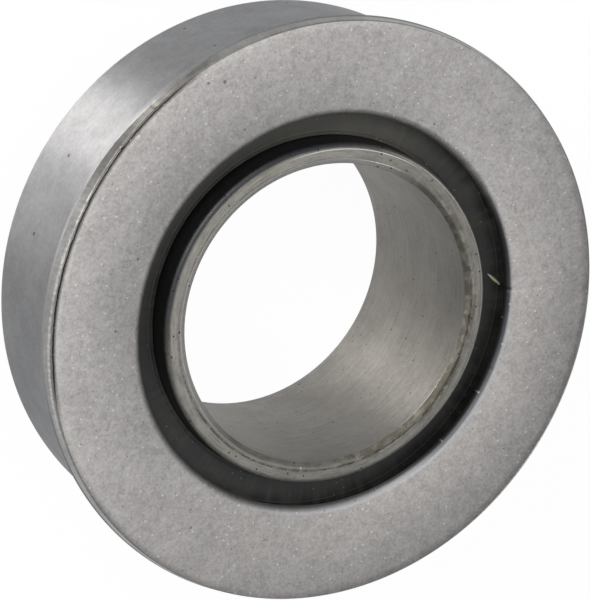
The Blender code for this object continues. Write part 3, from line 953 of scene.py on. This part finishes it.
class BEARING_OT_face_plate(bpy.types.Operator):
    """Make the flat ring that closes the front"""

    bl_idname = "bearing.face_plate"
    bl_label = "Face plate"

    slack_middle = math.radians(342)
    slack_reach = math.radians(14)
    slack_drop = 0.00006
    least_chamfer = 0.00001
    chamfer_lean = 0.4
    chamfer_round = 0.00001
    roll_round = 0.004
    rag_share = 0.5
    tight_middle = math.radians(272)
    tight_reach = (math.radians(45), math.radians(25))
    notches = ((125.6, 0.00006), (101.9, 0.00002))
    notch_reach = math.radians(0.45)

    def execute(self, context):
        self.sizes = context.scene.bearing_sizes
        material = plate_finish(context.scene.bearing_colours, self.sizes)
        piece = lofted("clinched_plate", self.outline_at, self.sizes.crimp_facets, [material])
        stands_for(piece, "outer", "plate_steel", "face_plate")
        return {"FINISHED"}

    def outline_at(self, angle):
        """The plate's section. Its edge follows the seam and rolls down to it, further on
        one side. Its hole is tighter on one side and has two small notches."""
        sizes = self.sizes
        face, rear = PLATE_HIGH[2], PLATE_LOW[2]
        opened = gape(sizes, angle)
        rag = self.rag_share * seam_rag(sizes, angle)
        edge = seam_radius(sizes, angle) + rag - sizes.seam_gap * opened
        chamfer = sizes.plate_chamfer * opened + self.least_chamfer
        slack = near(angle, self.slack_middle, self.slack_reach, self.slack_reach)
        drop = sizes.plate_drop + self.slack_drop * slack
        roll = sizes.plate_roll + self.slack_drop * slack
        tight = near(angle, self.tight_middle, *self.tight_reach)
        hole = sizes.plate_hole - sizes.plate_hole_shift * tight
        for middle, depth in self.notches:
            hole += depth * near(angle, math.radians(middle), self.notch_reach, self.notch_reach)
        corners = [
            (edge - self.chamfer_lean * chamfer - roll, face, self.roll_round),
            (edge - self.chamfer_lean * chamfer, face - drop, self.chamfer_round),
            (edge, face - drop - chamfer, 0),
            (edge, rear, 0),
            (hole, rear, sizes.plate_burr_round),
            (hole, face, sizes.plate_hole_round),
        ]
        return filleted(corners, sizes.fillet_facets)


class BEARING_OT_seals(bpy.types.Operator):
    """Make the front and the rear lip seal"""

    bl_idname = "bearing.seals"
    bl_label = "Seals"

    fibre_ends = ((0.01179, 129.9), (0.01303, 124.4))
    fibre_steps = 10
    fibre_facets = 12
    fibre_taper = 0.7
    fibre_lift = 0.3
    bead_round = 0.0001
    web_fillet = 0.0003
    lip_round = 0.00006
    rib_fillet = 0.00003
    rib_round = 0.00004

    def execute(self, context):
        sizes = context.scene.bearing_sizes
        material = rubber_finish(context.scene.bearing_colours)
        front = ("front", FRONT_SEAL_LOW[2], FRONT_SEAL_HIGH[2])
        rear = ("rear", REAR_SEAL_HIGH[2], REAR_SEAL_LOW[2])
        for side, foot, head in (front, rear):
            seal = self.make_seal(f"{side}_lip_seal", foot, head, sizes, material)
            stands_for(seal, "outer", "seal_rubber", f"{side}_seal")
        self.make_fibre(sizes, fibre_finish(context.scene.bearing_colours))
        return {"FINISHED"}

    def make_fibre(self, sizes, material):
        """The dry fibre that lies on the front seal's web, thin at both ends."""
        half, thick, steps = sizes.fibre_length / 2, sizes.fibre_width / 2, self.fibre_steps
        outline = [
            (thick * math.sin(math.pi * n / steps) ** self.fibre_taper, half * (2 * n / steps - 1))
            for n in range(1, steps)
        ]
        fibre = turned("caught_fibre", [(0, -half), *outline, (0, half)], self.fibre_facets, material)
        web = FRONT_SEAL_LOW[2] + sizes.seal_web_offset + sizes.seal_web
        ends = [Vector(polar(r, degrees, web)) for r, degrees in self.fibre_ends]
        run = (ends[1] - ends[0]).to_track_quat("Z", "X").to_matrix().to_4x4()
        lift = Vector((0, 0, sizes.fibre_width * self.fibre_lift))
        fibre.data.transform(Matrix.Translation((ends[0] + ends[1]) / 2 + lift) @ run)
        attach(fibre, "outer")

    def make_seal(self, name, foot, head, sizes, material):
        """A bead that is clamped on the race, and a web that reaches in to the land."""
        side = 1 if head > foot else -1
        height = abs(head - foot)
        outer = RACE_HIGH[0]
        bead = outer - sizes.seal_bead
        lip = RING_HIGH[0] + sizes.seal_lip_gap
        low, high = sizes.seal_web_offset, sizes.seal_web_offset + sizes.seal_web
        corners = [
            (outer, height, 0),
            (outer, 0.0, 0),
            (bead, 0.0, 0),
            (bead, low, self.bead_round),
            (lip + sizes.seal_lip_bevel, low, 0),
            (lip, low + sizes.seal_lip_bevel, 0),
            (lip, high, self.lip_round),
            *self.rib(sizes.seal_inner_rib, high, sizes),
            *self.rib(sizes.seal_outer_rib, high, sizes),
            (bead, high, self.web_fillet),
            (bead, height, self.bead_round),
        ]
        outline = [(x, foot + side * z) for x, z in filleted(corners, sizes.fillet_facets)]
        if side < 0:
            outline.reverse()
        return turned(name, outline, sizes.facets, material)

    def rib(self, radius, height, sizes):
        """The corners of one thin rib on the web."""
        half = sizes.seal_rib_width / 2
        return [
            (radius - half, height, self.rib_fillet),
            (radius, height + sizes.seal_rib, self.rib_round),
            (radius + half, height, self.rib_fillet),
        ]


class BEARING_OT_inner_ring(bpy.types.Operator):
    """Make the inner ring, with its bore and its groove"""

    bl_idname = "bearing.inner_ring"
    bl_label = "Inner ring"

    edge_round = 0.00004

    def execute(self, context):
        sizes = context.scene.bearing_sizes
        top, land = RING_HIGH[2], RING_HIGH[0]
        mouth = sizes.bore + sizes.bore_chamfer
        corners = [
            (mouth, top, self.edge_round),
            (land, top, sizes.ring_round),
            (land, 0.0, sizes.ring_round),
            (mouth, 0.0, self.edge_round),
            (sizes.bore, sizes.bore_chamfer_depth, self.edge_round),
            (sizes.bore, top - sizes.bore_chamfer_depth, self.edge_round),
        ]
        outline = filleted(corners, sizes.fillet_facets)
        points = sizes.fillet_facets + 1
        track = groove(sizes, sizes.inner_groove, land, outward=False)
        outline[2 * points:2 * points] = track
        front = range(-1, 2 * points)
        rear = range(2 * points + len(track), 4 * points + len(track))
        rims = {row % len(outline) for row in (*front, *rear)}
        colours = context.scene.bearing_colours
        materials = [ring_finish(colours), rim_finish(colours)]
        piece = lofted("ground_inner_ring", lambda angle: outline, sizes.facets, materials, rims)
        stands_for(piece, "inner", "ring_steel", "inner_ring")
        return {"FINISHED"}


class BEARING_OT_race(bpy.types.Operator):
    """Make the outer race inside the shell"""

    bl_idname = "bearing.race"
    bl_label = "Outer race"

    def execute(self, context):
        sizes = context.scene.bearing_sizes
        top, bottom, outside = RACE_HIGH[2], RACE_LOW[2], RACE_HIGH[0]
        section = ((sizes.shoulder, top), (outside, top), (outside, bottom), (sizes.shoulder, bottom))
        corners = [(x, z, sizes.race_round) for x, z in section]
        outline = filleted(corners, sizes.fillet_facets)
        outline += reversed(groove(sizes, sizes.outer_groove, sizes.shoulder, outward=True))
        material = bright_finish(context.scene.bearing_colours, "race", roughness=0.22, scale=4000.0)
        piece = turned("turned_outer_race", outline, sizes.facets, material)
        stands_for(piece, "outer", "race_steel", "outer_race")
        return {"FINISHED"}


class BEARING_OT_balls(bpy.types.Operator):
    """Make the balls"""

    bl_idname = "bearing.balls"
    bl_label = "Balls"

    def execute(self, context):
        material = bright_finish(context.scene.bearing_colours, "ball", roughness=0.08, scale=2500.0)
        radius = (BALL_HIGH[2] - BALL_LOW[2]) / 2
        for index in range(BALL_COUNT):
            name = f"rolling_ball_{index + 1:02d}"
            ball = bmesh.new()
            bmesh.ops.create_uvsphere(ball, u_segments=48, v_segments=32, radius=radius)
            piece = finished(f"steel_{name}", meshed(f"steel_{name}", ball), material)
            piece.data.shade_smooth()
            piece.location = ball_place(index)
            stands_for(piece, name, "ball_steel", f"ball_{index + 1:02d}")
        return {"FINISHED"}


class BEARING_OT_cage(bpy.types.Operator):
    """Make the two ribbons of the cage and their rivets"""

    bl_idname = "bearing.cage"
    bl_label = "Cage"

    pocket_steps = 24
    across_steps = 6
    rivet_facets = 32
    dome_steps = 8
    hole_depth = 0.002

    def execute(self, context):
        sizes = context.scene.bearing_sizes
        material = bright_finish(context.scene.bearing_colours, "cage", roughness=0.3, scale=3000.0)
        holes = self.make_holes(sizes, material)
        for name, up in (("front", True), ("rear", False)):
            ribbon = self.make_ribbon(f"ribbon_{name}", up, holes, sizes, material)
            stands_for(ribbon, "cage", "cage_steel", f"cage_{name}")
        bpy.data.objects.remove(holes, do_unlink=True)
        self.make_rivets(sizes, material)
        return {"FINISHED"}

    def make_holes(self, sizes, material):
        """One mesh with a round bar for each rivet hole."""
        bars = bmesh.new()
        radius = sizes.rivet_shank + sizes.rivet_play
        for index in range(BALL_COUNT):
            made = bmesh.ops.create_cone(
                bars, cap_ends=True, segments=self.rivet_facets, radius1=radius, radius2=radius,
                depth=self.hole_depth,
            )
            bmesh.ops.translate(bars, verts=made["verts"], vec=ball_place(index + 0.5))
        return finished("rivet_holes", meshed("rivet_holes", bars), material)

    def make_ribbon(self, name, up, holes, sizes, material):
        """A flat strip bent over every ball, given the sheet's thickness on the side
        away from the balls, and drilled for its rivets."""
        side = 1 if up else -1
        centre = ball_place(0)
        pocket = BALL_REACH + sizes.pocket_play
        sweep = math.pi - 2 * sizes.pocket_start
        steps = self.pocket_steps
        turns = [sizes.pocket_start + sweep * n / steps for n in range(steps + 1)]
        total = len(turns) * BALL_COUNT
        strip = bmesh.new()
        rows = []
        for step in range(self.across_steps + 1):
            offset = sizes.ribbon_width * (step / self.across_steps - 0.5)
            radius, reach = centre.x + offset, math.sqrt(pocket**2 - offset**2)
            row = []
            for number in range(total):
                ball, column = divmod(number, len(turns))
                angle = math.tau * ball / BALL_COUNT - reach * math.cos(turns[column]) / radius
                lift = sizes.ribbon_gap / 2
                if 0 < column < steps:
                    lift = max(lift, reach * math.sin(turns[column]))
                place = (radius * math.cos(angle), radius * math.sin(angle), centre.z + side * lift)
                row.append(strip.verts.new(place))
            rows.append(row)
        for inner, outer in zip(rows, rows[1:]):
            for number in range(total):
                after = (number + 1) % total
                corners = (inner[number], outer[number], outer[after], inner[after])
                strip.faces.new(corners if up else corners[::-1])
        ribbon = finished(name, meshed(name, strip), material)
        sheet = ribbon.modifiers.new("Sheet", "SOLIDIFY")
        sheet.thickness = sizes.ribbon_sheet
        sheet.offset = 1.0
        sheet.use_even_offset = True
        drilled = ribbon.modifiers.new("Rivet holes", "BOOLEAN")
        drilled.operation = "DIFFERENCE"
        drilled.solver = "EXACT"
        drilled.object = holes
        return shaded(applied(ribbon))

    def make_rivets(self, sizes, material):
        """The rivets that hold the two ribbons together between the balls."""
        grip = sizes.ribbon_gap / 2 + sizes.ribbon_sheet + sizes.rivet_play
        top, head = grip + sizes.rivet_head_height, sizes.rivet_head
        turns = [math.pi / 2 * n / self.dome_steps for n in range(1, self.dome_steps + 1)]
        dome = [(head * math.sin(a), grip + sizes.rivet_head_height * math.cos(a)) for a in turns]
        upper = [(0, top), *dome, (sizes.rivet_shank, grip)]
        outline = upper + [(x, -z) for x, z in reversed(upper)]
        for index in range(BALL_COUNT):
            rivet = turned(f"ribbon_rivet_{index + 1:02d}", outline, self.rivet_facets, material)
            rivet.location = ball_place(index + 0.5)
            stands_for(rivet, "cage", "cage_steel", f"cage_rivet_{index + 1:02d}")


class BEARING_PT_panel(bpy.types.Panel):
    """The bearing's pieces, sizes and colours"""

    bl_idname = "BEARING_PT_panel"
    bl_label = "Flanged Ball Bearing"
    bl_space_type = "VIEW_3D"
    bl_region_type = "UI"
    bl_category = "Bearing"

    def draw(self, context):
        layout = self.layout
        for operator in OPERATORS:
            layout.operator(operator.bl_idname)
        for name, kind in GROUPS.items():
            box = layout.box()
            for setting in kind.__annotations__:
                box.prop(getattr(context.scene, name), setting)


GROUPS = {
    "bearing_sizes": BearingSizes,
    "bearing_colours": BearingColours,
    "studio_settings": StudioSettings,
}
OPERATORS = (
    BEARING_OT_studio,
    BEARING_OT_shell,
    BEARING_OT_face_plate,
    BEARING_OT_seals,
    BEARING_OT_inner_ring,
    BEARING_OT_race,
    BEARING_OT_balls,
    BEARING_OT_cage,
)


def register():
    """Register the classes and give the scene its settings."""
    for group in GROUPS.values():
        bpy.utils.register_class(group)
    for name, group in GROUPS.items():
        setattr(bpy.types.Scene, name, bpy.props.PointerProperty(type=group))
    for made in (*OPERATORS, BEARING_PT_panel):
        bpy.utils.register_class(made)


def unregister():
    """Take the classes and the settings away again."""
    for made in (BEARING_PT_panel, *reversed(OPERATORS)):
        bpy.utils.unregister_class(made)
    for name, group in reversed(GROUPS.items()):
        delattr(bpy.types.Scene, name)
        bpy.utils.unregister_class(group)


def main():
    """Make everything."""
    register()
    bpy.ops.bearing.studio()
    bpy.ops.bearing.shell()
    bpy.ops.bearing.face_plate()
    bpy.ops.bearing.seals()
    bpy.ops.bearing.inner_ring()
    bpy.ops.bearing.race()
    bpy.ops.bearing.balls()
    bpy.ops.bearing.cage()
    boxes = {"cad": CAD_BOX, "visual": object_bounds()}
    {name: [list(corner) for corner in box] for name, box in boxes.items()}


if __name__ == "__main__":
    main()
